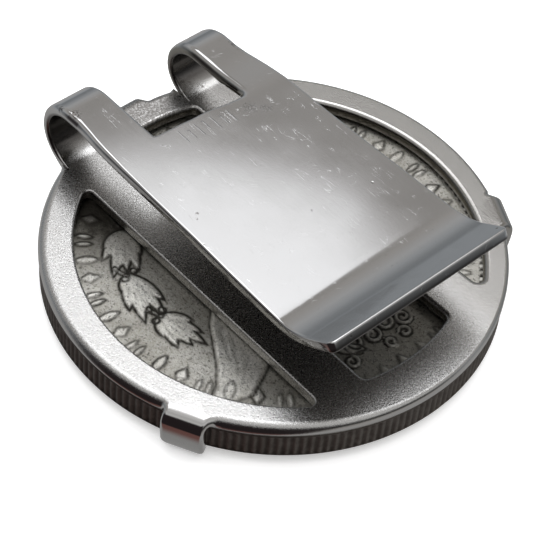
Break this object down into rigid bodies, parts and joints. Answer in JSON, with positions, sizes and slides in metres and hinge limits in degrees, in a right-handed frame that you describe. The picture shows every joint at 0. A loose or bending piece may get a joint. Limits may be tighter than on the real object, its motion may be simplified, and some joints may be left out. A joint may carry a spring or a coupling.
{
  "type": "coin clip",
  "caption": "Folded spring-steel clip whose flat ring bezel holds one reeded coin by three hooked prongs, with a flared tongue that springs over a cap brim, belt or folded notes.",
  "frame": {"origin": "middle of the base in plan, at the level of the undersides of the three prongs", "axes": "+X along the tongue towards its lip, +Y across the tongue, +Z from the coin towards the tongue"},
  "size_m": [0.0392, 0.0382, 0.0133],
  "materials": {
    "clip_steel": "satin top, polished folds",
    "coin_silver": "worn silver with dark recesses"
  },
  "bodies": {
    "clip_frame": {"bezel_plate": "clip_steel", "prong_left": "clip_steel", "prong_right": "clip_steel", "prong_rear": "clip_steel", "loop_lower_left": "clip_steel", "loop_lower_right": "clip_steel"},
    "tongue_arm": {"loop_upper_left": "clip_steel", "loop_upper_right": "clip_steel", "leg_left": "clip_steel", "leg_right": "clip_steel", "tongue": "clip_steel", "lip": "clip_steel"},
    "coin_disc": {"coin": "coin_silver"}
  },
  "joints": [
    {"name": "tongue_flex", "type": "hinge", "parent": "clip_frame", "child": "tongue_arm", "pos_m": [-0.01954, 0, 0.00722], "axis": [0, -1, 0], "range_deg": [0, 12], "stiffness_Nm_per_rad": 3},
    {"name": "coin_turn", "type": "hinge", "parent": "clip_frame", "child": "coin_disc", "pos_m": [0.00049, 0, 0.00233], "axis": [0, 0, 1], "continuous": true}
  ]
}
